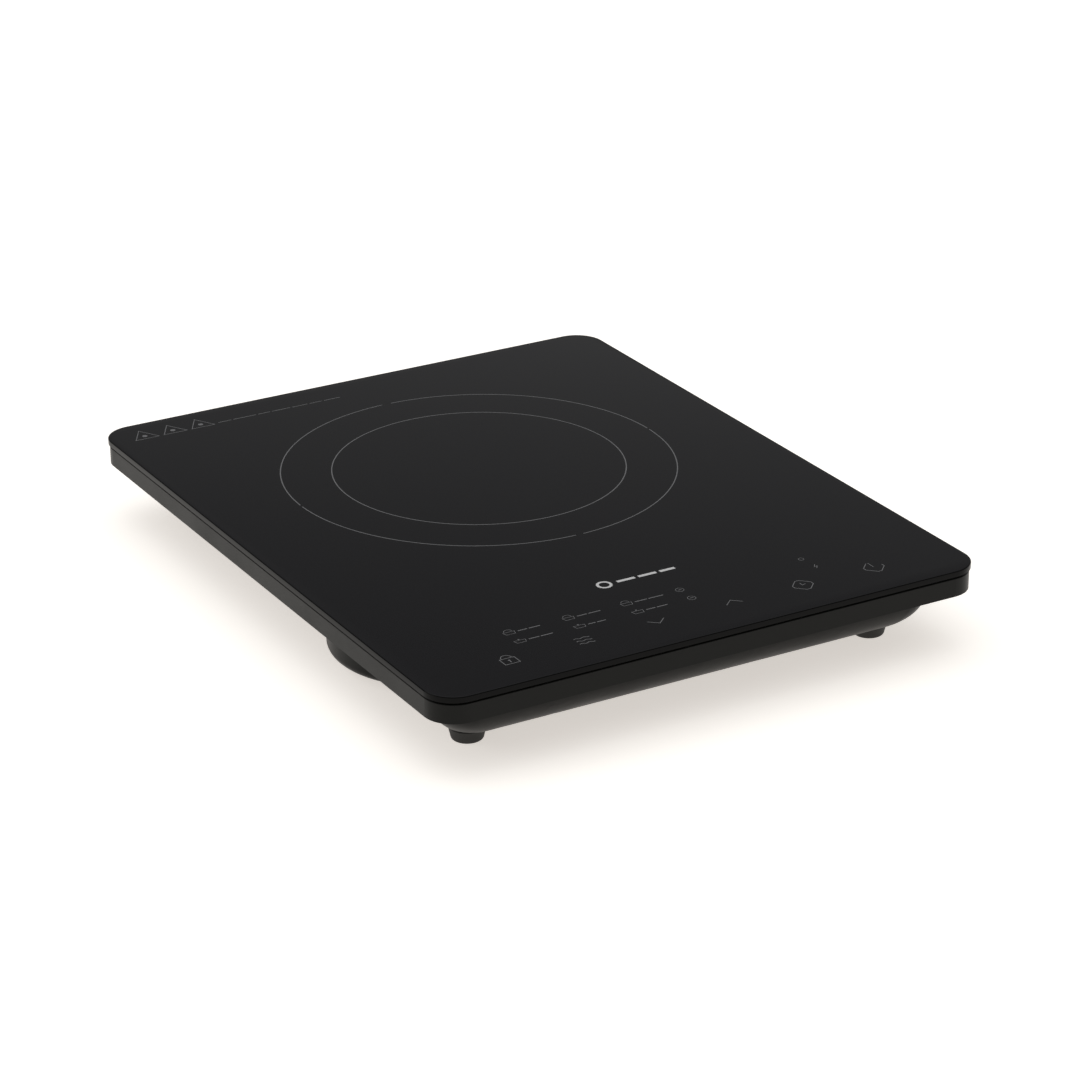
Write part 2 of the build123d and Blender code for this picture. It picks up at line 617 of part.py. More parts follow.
FUSE_X, FUSE_Y, FUSE_Z = 64.0, 4.0, board_top + 4.4
FUSE_RADIUS, FUSE_LENGTH = 2.5, 20.0
fuse_axis = Plane(origin=(FUSE_X, FUSE_Y, FUSE_Z), x_dir=(0, 1, 0), z_dir=(1, 0, 0))
with BuildPart(fuse_axis) as fuse:
    Cylinder(FUSE_RADIUS, FUSE_LENGTH)

CLIP_SPAN, CLIP_SIZE = 15.0, (4.0, 7.0, 6.0)
with BuildPart() as fuse_clips:
    with Locations((FUSE_X, FUSE_Y, board_top)):
        with GridLocations(CLIP_SPAN, 0, 2, 1):
            Box(*CLIP_SIZE, align=STAND)
    with Locations(fuse_axis):
        Cylinder(FUSE_RADIUS, FUSE_LENGTH + 4, mode=Mode.SUBTRACT)

VARISTOR_RADIUS, VARISTOR_THICKNESS = 5.4, 4.0
VARISTOR_Y = 16.0
varistor_plane = Plane(
    origin=(FUSE_X, VARISTOR_Y, board_top + VARISTOR_RADIUS), z_dir=(0, 1, 0)
)
with BuildPart(varistor_plane) as varistor:
    Cylinder(VARISTOR_RADIUS, VARISTOR_THICKNESS)

BUZZER_PLACE, BUZZER_RADIUS, BUZZER_HEIGHT = (20, -2), 6.0, 7.0
with BuildPart() as buzzer:
    with Locations((*BUZZER_PLACE, board_top)):
        Cylinder(BUZZER_RADIUS, BUZZER_HEIGHT, align=STAND)
        Cylinder(BUZZER_RADIUS / 5, BUZZER_HEIGHT, align=STAND, mode=Mode.SUBTRACT)

TERMINAL_SIZE = (7.0, 7.0, 4.0)
COIL_LEAD = 1.5
terminal_top = board_top + TERMINAL_SIZE[2]
with BuildPart() as coil_terminals:
    add(blocks(lead_places, TERMINAL_SIZE, board_top))

with BuildPart() as coil_leads:
    with Locations(*[(x, y, terminal_top) for x, y in lead_places]):
        Cylinder(COIL_LEAD, former_top - terminal_top, align=STAND)

MAINS_PLACE, TAB_SPAN = (64, 44), 14.0
TAB_FOOT, TAB_BLADE = (9.0, 4.0, 1.2), (6.3, 0.8, 9.0)
with BuildPart() as mains_terminals:
    with Locations((*MAINS_PLACE, board_top)):
        with GridLocations(TAB_SPAN, 0, 2, 1):
            Box(*TAB_FOOT, align=STAND)
            Box(*TAB_BLADE, align=STAND)

FAN_PLUG = (-14, -48)
RIBBON_X = 62.0
RIBBON_FRONT, RIBBON_BACK = -128.0, -113.5
PLUG_SIZE = (5.0, 7.0, CONNECTOR_HEIGHT)
RIBBON_PLUG_SIZE = (17.0, 5.0, CONNECTOR_HEIGHT)
with BuildPart() as board_connectors:
    add(blocks([FAN_PLUG, (0, COIL_Y)], PLUG_SIZE, board_top))
    add(blocks([(RIBBON_X, RIBBON_BACK)], RIBBON_PLUG_SIZE, board_top))

board_screw = screw(SMALL_HEAD, SMALL_HEAD_HEIGHT, THREAD, shank_length=5.5)
with BuildPart() as board_screws:
    with Locations(*[(x, y, board_top) for x, y in board_places]):
        add(board_screw)

# ---- cooling fan: ducted frame that hangs the motor over the grille ----
FAN_BOTTOM, FAN_TOP = 9.0, 24.0
MOTOR_PLATE = 2.0
DUCT_OUTER, DUCT_INNER = 43.5, 41.7
EAR_RADIUS = 4.2
MOTOR_PLATE_RADIUS = 17.0
ARMS, ARM_MIDDLE, ARM_SIZE = 4, 29.0, (27.0, 3.0)
TUBE_OUTER, TUBE_BOTTOM, BUSH_OUTER = 4.4, 12.4, 3.0
plate_bottom = FAN_TOP - MOTOR_PLATE
with BuildPart() as fan_frame:
    with Locations((FAN_X, FAN_Y, FAN_BOTTOM)):
        Cylinder(DUCT_OUTER, FAN_TOP - FAN_BOTTOM, align=STAND)
    with BuildSketch(Plane.XY.offset(BOARD_BOTTOM)):
        with Locations(*ear_places):
            Circle(EAR_RADIUS)
        for angle in FAN_EAR_ANGLES:
            with Locations(polar(FAN_X, FAN_Y, FAN_EAR_RADIUS - 4, angle)):
                Rectangle(8, 2 * EAR_RADIUS, rotation=angle)
    extrude(amount=EAR_THICKNESS)
    with Locations((FAN_X, FAN_Y, FAN_BOTTOM)):
        Cylinder(DUCT_INNER, FAN_TOP - FAN_BOTTOM, align=STAND, mode=Mode.SUBTRACT)
    with Locations(*[(x, y, BOARD_BOTTOM) for x, y in ear_places]):
        Cylinder(CLEAR, EAR_THICKNESS, align=STAND, mode=Mode.SUBTRACT)
    with BuildSketch(Plane.XY.offset(plate_bottom)):
        with Locations((FAN_X, FAN_Y)):
            Circle(MOTOR_PLATE_RADIUS)
            with PolarLocations(ARM_MIDDLE, ARMS, start_angle=45):
                Rectangle(*ARM_SIZE)
    extrude(amount=MOTOR_PLATE)
    with Locations((FAN_X, FAN_Y, TUBE_BOTTOM)):
        Cylinder(TUBE_OUTER, plate_bottom - TUBE_BOTTOM, align=STAND)
        Cylinder(BUSH_OUTER, plate_bottom - TUBE_BOTTOM, align=STAND, mode=Mode.SUBTRACT)

SHAFT_RADIUS = 1.5
BEARING_GAP = 0.05
BUSH_BOTTOM, BUSH_TOP = 12.6, 20.9
with BuildPart() as fan_bearing:
    with Locations((FAN_X, FAN_Y, BUSH_BOTTOM)):
        Cylinder(BUSH_OUTER, BUSH_TOP - BUSH_BOTTOM, align=STAND)
        Cylinder(
            SHAFT_RADIUS + BEARING_GAP, BUSH_TOP - BUSH_BOTTOM, align=STAND, mode=Mode.SUBTRACT
        )

STATOR_RADIUS, STATOR_FACE, STATOR_CORE = 14.4, 1.8, 7.4
STATOR_BOTTOM, STATOR_HEIGHT = 13.6, 5.6
POLES, POLE_MIDDLE, NECK = 4, 10.0, (7.0, 4.4)
POLE_GAP = (5.0, 2.4)
COIL_BAND, COIL_WALL = 3.8, 1.6
with BuildPart() as fan_stator:
    with BuildSketch(Plane.XY.offset(STATOR_BOTTOM)):
        with Locations((FAN_X, FAN_Y)):
            Circle(STATOR_RADIUS)
            Circle(STATOR_RADIUS - STATOR_FACE, mode=Mode.SUBTRACT)
            with PolarLocations(STATOR_RADIUS - 1, POLES, start_angle=45):
                Rectangle(*POLE_GAP, mode=Mode.SUBTRACT)
            Circle(STATOR_CORE)
            with PolarLocations(POLE_MIDDLE, POLES):
                Rectangle(*NECK)
            Circle(TUBE_OUTER, mode=Mode.SUBTRACT)
    extrude(amount=STATOR_HEIGHT)

with BuildPart() as fan_windings:
    with Locations((FAN_X, FAN_Y, STATOR_BOTTOM + STATOR_HEIGHT / 2)):
        with PolarLocations(POLE_MIDDLE, POLES):
            Box(COIL_BAND, NECK[1] + 2 * COIL_WALL, STATOR_HEIGHT + 2.6)
        with PolarLocations(POLE_MIDDLE, POLES):
            Box(COIL_BAND, NECK[1], STATOR_HEIGHT, mode=Mode.SUBTRACT)

DRIVER_RADIUS, DRIVER_THICKNESS = 13.0, 1.0
with BuildPart() as fan_driver_board:
    with Locations((FAN_X, FAN_Y, plate_bottom)):
        Cylinder(DRIVER_RADIUS, DRIVER_THICKNESS, align=HANG)
        Cylinder(TUBE_OUTER, DRIVER_THICKNESS, align=HANG, mode=Mode.SUBTRACT)

HUB_RADIUS, HUB_BORE = 18.0, 16.4
HUB_BOTTOM, HUB_TOP = 10.0, 21.3
HUB_FACE = 1.8
BLADE_TIP, BLADE_LEVEL, BLADE_THICKNESS = 40.4, 15.6, 1.3
blade_ends = {HUB_RADIUS - 1: (13.0, 48.0), BLADE_TIP: (17.0, 27.0)}
with BuildPart() as fan_rotor:
    for out, (chord, pitch) in blade_ends.items():
        with BuildSketch(Plane.YZ.offset(FAN_X + out)):
            with Locations((FAN_Y, BLADE_LEVEL)):
                SlotOverall(chord, BLADE_THICKNESS, rotation=pitch)
    loft()
    blade = fan_rotor.part
    for number in range(1, FAN_BLADES):
        add(blade.rotate(FAN_AXIS, number * 360 / FAN_BLADES))
    with Locations((FAN_X, FAN_Y, HUB_BOTTOM)):
        Cylinder(HUB_RADIUS, HUB_TOP - HUB_BOTTOM, align=STAND)
    with Locations((FAN_X, FAN_Y, HUB_BOTTOM + HUB_FACE)):
        Cylinder(HUB_BORE, HUB_TOP - HUB_BOTTOM, align=STAND, mode=Mode.SUBTRACT)
    with Locations((FAN_X, FAN_Y, HUB_BOTTOM)):
        Cylinder(SHAFT_RADIUS, HUB_FACE, align=STAND, mode=Mode.SUBTRACT)

MAGNET_WALL, MAGNET_HEIGHT = 1.5, 9.0
with BuildPart() as fan_magnet:
    with Locations((FAN_X, FAN_Y, HUB_BOTTOM + HUB_FACE)):
        Cylinder(HUB_BORE, MAGNET_HEIGHT, align=STAND)
        Cylinder(HUB_BORE - MAGNET_WALL, MAGNET_HEIGHT, align=STAND, mode=Mode.SUBTRACT)

SHAFT_TOP = 21.6
CLIP_BOTTOM, CLIP_THICKNESS = 21.05, 0.3
CLIP_RADIUS, GROOVE_RADIUS = 2.5, 1.1
with BuildPart() as fan_shaft:
    with Locations((FAN_X, FAN_Y, HUB_BOTTOM)):
        Cylinder(SHAFT_RADIUS, SHAFT_TOP - HUB_BOTTOM, align=STAND)
    with BuildSketch(Plane.XY.offset(CLIP_BOTTOM)):
        with Locations((FAN_X, FAN_Y)):
            Circle(SHAFT_RADIUS)
            Circle(GROOVE_RADIUS, mode=Mode.SUBTRACT)
    extrude(amount=CLIP_THICKNESS, mode=Mode.SUBTRACT)

with BuildPart() as fan_clip:
    with Locations((FAN_X, FAN_Y, CLIP_BOTTOM)):
        Cylinder(CLIP_RADIUS, CLIP_THICKNESS, align=STAND)
        Cylinder(GROOVE_RADIUS, CLIP_THICKNESS, align=STAND, mode=Mode.SUBTRACT)

fan_screw = screw(SMALL_HEAD, SMALL_HEAD_HEIGHT, THREAD, shank_length=6.5)
with BuildPart() as fan_screws:
    with Locations(*[(x, y, BOARD_BOTTOM + EAR_THICKNESS) for x, y in ear_places]):
        add(fan_screw)

LEAD_RADIUS = 0.8
with BuildPart() as fan_lead:
    with BuildLine() as route:
        FilletPolyline(
            (FAN_X + 14, FAN_PLUG[1], FAN_TOP + LEAD_RADIUS),
            (FAN_PLUG[0], FAN_PLUG[1], FAN_TOP + LEAD_RADIUS),
            (FAN_PLUG[0], FAN_PLUG[1], connector_top),
            radius=4,
        )
    with BuildSketch(Plane(route.line @ 0, z_dir=route.line % 0)):
        Circle(LEAD_RADIUS)
    sweep()

# ---- control board under the front of the glass ----
with BuildPart() as control_board:
    with BuildSketch(Plane.XY.offset(CONTROL_BOTTOM)):
        with Locations((0, (CONTROL_FRONT + CONTROL_BACK) / 2)):
            RectangleRounded(
                2 * CONTROL_HALF_WIDTH, CONTROL_BACK - CONTROL_FRONT, CONTROL_CORNER
            )
        with Locations(*control_places):
            Circle(CLEAR, mode=Mode.SUBTRACT)
    extrude(amount=BOARD_THICKNESS)

with BuildPart() as control_screws:
    with Locations(*[(x, y, control_top) for x, y in control_places]):
        add(board_screw)

touch_spring = spring(radius=3.4, wire=0.35, pitch=1.2, bottom=control_top, top=glass_bottom)
with BuildPart() as touch_springs:
    with Locations(*[(x, KEY_Y) for x in KEY_X]):
        add(touch_spring)

LIGHT_SIZE = (3.0, 1.6, 1.1)
light_places = [(x, y) for x in LIGHT_X for y in LIGHT_ROWS]
with BuildPart() as indicator_lights:
    add(blocks(light_places, LIGHT_SIZE, control_top))

with BuildPart() as light_shroud:
    with BuildSketch(Plane.XY.offset(control_top)):
        with Locations(SHROUD_CENTRE):
            RectangleRounded(*SHROUD_SIZE, 2)
        with Locations(*light_places):
            RectangleRounded(*SHROUD_WINDOW, 1, mode=Mode.SUBTRACT)
        with Locations(DISPLAY_CENTRE):
            Rectangle(*[side + 0.6 for side in DISPLAY_SIZE], mode=Mode.SUBTRACT)
    extrude(amount=glass_bottom - control_top - GLASS_CLEARANCE)

with BuildPart() as digit_display:
    with Locations((*DISPLAY_CENTRE, control_top)):
        Box(*DISPLAY_SIZE, glass_bottom - control_top - GLASS_CLEARANCE, align=STAND)
    chamfer(digit_display.faces().sort_by(Axis.Z)[-1].edges(), 0.4)

CHIP_PLACES, CHIP_SIZE = ((-20, -136), (20, -136)), (10.0, 10.0, 1.6)
RIBBON_SOCKET = (17.0, 5.0, 3.0)
with BuildPart() as control_chips:
    with Locations(*[(x, y, CONTROL_BOTTOM) for x, y in CHIP_PLACES]):
        Box(*CHIP_SIZE, align=HANG)
    with Locations((RIBBON_X, RIBBON_FRONT, CONTROL_BOTTOM)):
        Box(*RIBBON_SOCKET, align=HANG)

RIBBON_WIDTH, RIBBON_THICKNESS = 14.0, 0.9
RIBBON_LEVEL = 23.0
with BuildPart() as control_ribbon:
    with BuildLine() as route:
        FilletPolyline(
            (RIBBON_X, RIBBON_FRONT, CONTROL_BOTTOM - RIBBON_SOCKET[2]),
            (RIBBON_X, RIBBON_FRONT, RIBBON_LEVEL),
            (RIBBON_X, RIBBON_BACK, RIBBON_LEVEL),
            (RIBBON_X, RIBBON_BACK, connector_top),
            radius=3,
        )
    with BuildSketch(Plane(route.line @ 0, x_dir=(1, 0, 0), z_dir=route.line % 0)):
        Rectangle(RIBBON_WIDTH, RIBBON_THICKNESS)
    sweep()

# ---- write one file for each piece ----
pieces = {
    "glass_panel": glass_panel,
    "glass_seal": glass_seal,
    "glass_frame": glass_frame,
    "housing_tray": housing_tray,
    "cord_gland": cord_gland,
    **feet,
    "case_screws": case_screws,
    "coil_former": coil_former,
    "ferrite_bars": ferrite_bars,
    "induction_coil": induction_coil,
    "insulating_sheet": insulating_sheet,
    "coil_springs": coil_springs,
    "coil_screws": coil_screws,
    "coil_leads": coil_leads,
    "coil_terminals": coil_terminals,
    "sensor_holder": sensor_holder,
    "thermal_sensor": thermal_sensor,
    "sensor_leads": sensor_leads,
    "main_board": main_board,
    "board_screws": board_screws,
    "board_connectors": board_connectors,
    "heatsink": heatsink,
    "heatsink_screws": heatsink_screws,
    "power_transistor": power_transistor,
    "bridge_rectifier": bridge_rectifier,
    "film_capacitors": film_capacitors,
    "choke_core": choke_core,
    "choke_winding": choke_winding,
    "transformer": transformer,
    "electrolytic_capacitors": electrolytic_capacitors,
    "fuse": fuse,
    "fuse_clips": fuse_clips,
    "varistor": varistor,
    "buzzer": buzzer,
    "mains_terminals": mains_terminals,
    "fan_frame": fan_frame,
    "fan_bearing": fan_bearing,
    "fan_stator": fan_stator,
    "fan_windings": fan_windings,
    "fan_driver_board": fan_driver_board,
    "fan_lead": fan_lead,
    "fan_screws": fan_screws,
    "fan_rotor": fan_rotor,
    "fan_magnet": fan_magnet,
    "fan_shaft": fan_shaft,
    "fan_clip": fan_clip,
    "control_board": control_board,
    "control_screws": control_screws,
    "touch_springs": touch_springs,
    "indicator_lights": indicator_lights,
    "light_shroud": light_shroud,
    "digit_display": digit_display,
    "control_chips": control_chips,
    "control_ribbon": control_ribbon,
}
os.makedirs("parts", exist_ok=True)
for name, made in pieces.items():
    made.part.label = name
    export_step(made.part, f"parts/{name}.step")
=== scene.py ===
import json
import math

import bmesh
import bpy
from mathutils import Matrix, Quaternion, Vector
from mathutils.geometry import tessellate_polygon


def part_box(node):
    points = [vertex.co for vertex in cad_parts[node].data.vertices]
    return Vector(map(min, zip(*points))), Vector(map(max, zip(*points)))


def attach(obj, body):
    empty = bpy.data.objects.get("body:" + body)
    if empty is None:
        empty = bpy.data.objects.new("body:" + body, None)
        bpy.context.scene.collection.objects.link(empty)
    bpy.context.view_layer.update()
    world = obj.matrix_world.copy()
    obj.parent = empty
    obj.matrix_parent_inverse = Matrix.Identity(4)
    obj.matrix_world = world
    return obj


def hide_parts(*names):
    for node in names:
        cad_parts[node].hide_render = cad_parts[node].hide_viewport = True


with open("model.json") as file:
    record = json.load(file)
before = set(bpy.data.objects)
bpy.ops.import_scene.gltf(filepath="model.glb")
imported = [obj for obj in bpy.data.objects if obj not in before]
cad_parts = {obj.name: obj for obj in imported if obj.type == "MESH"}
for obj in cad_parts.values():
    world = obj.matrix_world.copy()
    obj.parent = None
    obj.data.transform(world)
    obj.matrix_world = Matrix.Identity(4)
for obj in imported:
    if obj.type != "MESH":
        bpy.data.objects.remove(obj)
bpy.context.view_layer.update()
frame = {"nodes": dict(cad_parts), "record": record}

MM = 0.001
BODY = "cooktop"
GLASS_LOW, GLASS_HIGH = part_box("glass_panel")
COIL_LOW, COIL_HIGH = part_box("induction_coil")
COIL_CENTRE = (COIL_LOW + COIL_HIGH) / 2
COIL_PITCH, BAND_SPREAD = 3.2, 6.0


# ---------------------------------------------------------------- shader groups
def new_group(name, inputs, outputs):
    """Empty shader group: inputs are (name, kind, value), outputs are (name, kind)."""
    group = bpy.data.node_groups.new(name, "ShaderNodeTree")
    for label, kind, value in inputs:
        socket = group.interface.new_socket(label, in_out="INPUT", socket_type=kind)
        socket.default_value = value
    for label, kind in outputs:
        group.interface.new_socket(label, in_out="OUTPUT", socket_type=kind)
    return group, group.nodes.new("NodeGroupInput"), group.nodes.new("NodeGroupOutput")


def add_node(tree, kind, links=(), **settings):
    """Node with its settings, and with links given as (input, value or socket)."""
    node = tree.nodes.new(kind)
    for name, value in settings.items():
        setattr(node, name, value)
    for key, value in links:
        if isinstance(value, bpy.types.NodeSocket):
            tree.links.new(value, node.inputs[key])
        else:
            node.inputs[key].default_value = value
    return node


def math_node(tree, operation, first, second, clamp=False):
    """Result socket of one arithmetic step."""
    node = add_node(
        tree, "ShaderNodeMath", ((0, first), (1, second)), operation=operation, use_clamp=clamp
    )
    return node.outputs[0]


def make_grain_group():
    """Fine moulded grain: a height and a slow mottle, in object space."""
    group, given, result = new_group(
        "moulded_grain",
        (("Grain Size", "NodeSocketFloat", 0.4), ("Mottle Size", "NodeSocketFloat", 30.0)),
        (("Height", "NodeSocketFloat"), ("Mottle", "NodeSocketFloat")),
    )
    place = add_node(group, "ShaderNodeTexCoord").outputs["Object"]
    fine = math_node(group, "DIVIDE", 1000.0, given.outputs["Grain Size"])
    slow = math_node(group, "DIVIDE", 1000.0, given.outputs["Mottle Size"])
    cells = add_node(
        group, "ShaderNodeTexVoronoi", (("Vector", place), ("Scale", fine)), feature="SMOOTH_F1"
    )
    dust = add_node(group, "ShaderNodeTexNoise", (("Vector", place), ("Scale", fine)))
    both = math_node(group, "ADD", cells.outputs["Distance"], dust.outputs[0])
    mottle = add_node(
        group, "ShaderNodeTexNoise", (("Vector", place), ("Scale", slow), ("Detail", 4.0))
    )
    group.links.new(both, result.inputs["Height"])
    group.links.new(mottle.outputs[0], result.inputs["Mottle"])
    return group


def make_wear_group():
    """Mask of rubbed edges, from the bend between a rounded and the true normal."""
    group, given, result = new_group(
        "edge_wear",
        (("Reach", "NodeSocketFloat", 0.0006), ("Break Up", "NodeSocketFloat", 4.0)),
        (("Wear", "NodeSocketFloat"),),
    )
    soft = add_node(group, "ShaderNodeBevel", (("Radius", given.outputs["Reach"]),), samples=4)
    shape = add_node(group, "ShaderNodeNewGeometry")
    match = add_node(
        group,
        "ShaderNodeVectorMath",
        ((0, soft.outputs[0]), (1, shape.outputs["Normal"])),
        operation="DOT_PRODUCT",
    )
    bend = math_node(group, "SUBTRACT", 1.0, match.outputs["Value"], True)
    strong = math_node(group, "MULTIPLY", bend, 6.0, True)
    place = add_node(group, "ShaderNodeTexCoord").outputs["Object"]
    scale = math_node(group, "DIVIDE", 1000.0, given.outputs["Break Up"])
    patches = add_node(group, "ShaderNodeTexNoise", (("Vector", place), ("Scale", scale)))
    worn = math_node(group, "MULTIPLY", strong, patches.outputs[0], True)
    group.links.new(worn, result.inputs["Wear"])
    return group


def make_smear_group():
    """Slow streaks of handling on a glossy surface: a value for roughness."""
    group, given, result = new_group(
        "handling_smears",
        (("Size", "NodeSocketFloat", 60.0), ("Low", "NodeSocketFloat", 0.05),
         ("High", "NodeSocketFloat", 0.12)),
        (("Roughness", "NodeSocketFloat"),),
    )
    place = add_node(group, "ShaderNodeTexCoord").outputs["Object"]
    scale = math_node(group, "DIVIDE", 1000.0, given.outputs["Size"])
    noise = add_node(
        group,
        "ShaderNodeTexNoise",
        (("Vector", place), ("Scale", scale), ("Detail", 6.0), ("Distortion", 1.2)),
    )
    spread = add_node(
        group,
        "ShaderNodeMapRange",
        (("Value", noise.outputs[0]), ("From Min", 0.35), ("From Max", 0.7),
         ("To Min", given.outputs["Low"]), ("To Max", given.outputs["High"])),
    )
    group.links.new(spread.outputs[0], result.inputs["Roughness"])
    return group


GRAIN = make_grain_group()
WEAR = make_wear_group()
SMEARS = make_smear_group()


# ---------------------------------------------------------------- materials
def new_finish(name, colour, **shader_values):
    """Material with a Principled shader; returns it, its tree and the shader."""
    material = bpy.data.materials.new(name)
    material.use_nodes = True
    tree = material.node_tree
    shader = tree.nodes["Principled BSDF"]
    shader.inputs["Base Color"].default_value = (*colour, 1.0)
    for key, value in shader_values.items():
        shader.inputs[key.replace("_", " ")].default_value = value
    return material, tree, shader


def use_group(tree, group, **values):
    """Places a shader group in a material with its own values."""
    node = tree.nodes.new("ShaderNodeGroup")
    node.node_tree = group
    for key, value in values.items():
        node.inputs[key.replace("_", " ")].default_value = value
    return node


def blend_colours(tree, mask, first, second):
    """Colour socket that goes from the first to the second with the mask."""
    mix = add_node(tree, "ShaderNodeMix", data_type="RGBA")
    tree.links.new(mask, mix.inputs["Factor"])
    for slot_name, value in (("A", first), ("B", second)):
        socket = [s for s in mix.inputs if s.name == slot_name and s.type == "RGBA"][0]
        if isinstance(value, bpy.types.NodeSocket):
            tree.links.new(value, socket)
        else:
            socket.default_value = (*value, 1.0)
    return [s for s in mix.outputs if s.type == "RGBA"][0]


def rough_between(tree, mask, low, high):
    """Roughness socket between two values with the mask."""
    spread = add_node(
        tree,
        "ShaderNodeMapRange",
        (("Value", mask), ("From Min", 0.3), ("From Max", 0.7), ("To Min", low), ("To Max", high)),
    )
    return spread.outputs[0]


def add_bump(tree, shader, height, distance):
    """Bump from a height, in metres, on a shader's normal."""
    bump = add_node(
        tree, "ShaderNodeBump", (("Height", height), ("Distance", distance), ("Strength", 1.0))
    )
    tree.links.new(bump.outputs[0], shader.inputs["Normal"])


def moulded(
    name, colour, grain=0.35, depth=0.02, rough=(0.42, 0.55), lift=1.35, worn=2.2, **values
):
    """Moulded plastic or rubber: fine grain, slow mottle and rubbed edges."""
    material, tree, shader = new_finish(name, colour, **values)
    texture = use_group(tree, GRAIN, Grain_Size=grain)
    edges = use_group(tree, WEAR)
    lifted = [min(1.0, part * lift) for part in colour]
    rubbed = [min(1.0, part * worn + 0.004) for part in colour]
    tint = blend_colours(tree, texture.outputs["Mottle"], colour, lifted)
    tint = blend_colours(tree, edges.outputs["Wear"], tint, rubbed)
    tree.links.new(tint, shader.inputs["Base Color"])
    gloss = rough_between(tree, texture.outputs["Mottle"], *rough)
    tree.links.new(gloss, shader.inputs["Roughness"])
    add_bump(tree, shader, texture.outputs["Height"], depth * MM)
    return material


METAL_DEPTH = 0.006 * MM
ACROSS_LINES, ALONG_LINES = 2500.0, 60.0


def metal(name, colour, rough=(0.22, 0.4), line=None):
    """Metal with mottled roughness; line gives the axis its drawn lines run along."""
    material, tree, shader = new_finish(name, colour, Metallic=1.0)
    texture = use_group(tree, GRAIN, Grain_Size=0.8, Mottle_Size=9.0)
    edges = use_group(tree, WEAR, Reach=0.0003)
    height = texture.outputs["Height"]
    if line is not None:
        place = add_node(tree, "ShaderNodeTexCoord").outputs["Object"]
        stretch = [ACROSS_LINES] * 3
        stretch[line] = ALONG_LINES
        drawn = add_node(
            tree, "ShaderNodeMapping", (("Vector", place), ("Scale", stretch)), vector_type="POINT"
        )
        lines = add_node(tree, "ShaderNodeTexNoise", (("Vector", drawn.outputs[0]), ("Scale", 1.0)))
        height = lines.outputs[0]
    dark = [part * 0.82 for part in colour]
    bright = [min(1.0, part * 1.25 + 0.03) for part in colour]
    tint = blend_colours(tree, texture.outputs["Mottle"], dark, colour)
    tint = blend_colours(tree, edges.outputs["Wear"], tint, bright)
    tree.links.new(tint, shader.inputs["Base Color"])
    gloss = rough_between(tree, texture.outputs["Mottle"], *rough)
    tree.links.new(gloss, shader.inputs["Roughness"])
    add_bump(tree, shader, height, METAL_DEPTH)
    return material


# paler speckled colours painted onto the up-facing top of the glass as a sheen from above
SPECKLED_TOP_SHEEN_LOW, SPECKLED_TOP_SHEEN_HIGH = (0.0095, 0.0093, 0.0102), (0.0145, 0.0142, 0.0155)
GLASS_DEEP = (0.0012, 0.0012, 0.0012)
SPECKLE_SCALE, WAVE_SCALE, WAVE_DEPTH = 1800.0, 14.0, 0.004 * MM
LEVEL_START, LEVEL_END = 0.75, 1.0


def glass_finish():
    """Black glass-ceramic: speckle, a painted sheen that lightens only the up-facing top, darker
    sides and edges, slow smears.
    """
    material, tree, shader = new_finish(
        "black_glass_finish", (0.0045, 0.0045, 0.005), IOR=1.47, Specular_IOR_Level=0.10
    )
    place = add_node(tree, "ShaderNodeTexCoord").outputs["Object"]
    speckle = add_node(tree, "ShaderNodeTexNoise", (("Vector", place), ("Scale", SPECKLE_SCALE)))
    speckled_top_sheen = blend_colours(tree, speckle.outputs[0], SPECKLED_TOP_SHEEN_LOW, SPECKLED_TOP_SHEEN_HIGH)
    surface = add_node(tree, "ShaderNodeNewGeometry")
    facing = add_node(tree, "ShaderNodeSeparateXYZ", ((0, surface.outputs["Normal"]),))
    upward = add_node(
        tree, "ShaderNodeMapRange",
        (("Value", facing.outputs["Z"]), ("From Min", LEVEL_START), ("From Max", LEVEL_END)),
    )
    # painted sheen: up-facing faces take the pale speckled colour and the sides the dark one, as if
    # the top were lit from above
    tint = blend_colours(tree, upward.outputs[0], GLASS_DEEP, speckled_top_sheen)
    tree.links.new(tint, shader.inputs["Base Color"])
    smears = use_group(tree, SMEARS, Low=0.045, High=0.085)
    tree.links.new(smears.outputs["Roughness"], shader.inputs["Roughness"])
    waves = add_node(tree, "ShaderNodeTexNoise", (("Vector", place), ("Scale", WAVE_SCALE)))
    add_bump(tree, shader, waves.outputs[0], WAVE_DEPTH)
    return material


def ink_finish(name, colour):
    """Fired-on print: slightly uneven tone, matt against the glass."""
    material, tree, shader = new_finish(name, colour, IOR=1.45)
    place = add_node(tree, "ShaderNodeTexCoord").outputs["Object"]
    uneven = add_node(tree, "ShaderNodeTexNoise", (("Vector", place), ("Scale", 900.0)))
    faded = [part * 0.82 for part in colour]
    tint = blend_colours(tree, uneven.outputs[0], faded, colour)
    tree.links.new(tint, shader.inputs["Base Color"])
    gloss = rough_between(tree, uneven.outputs[0], 0.35, 0.55)
    tree.links.new(gloss, shader.inputs["Roughness"])
    add_bump(tree, shader, uneven.outputs[0], 0.003 * MM)
    return material


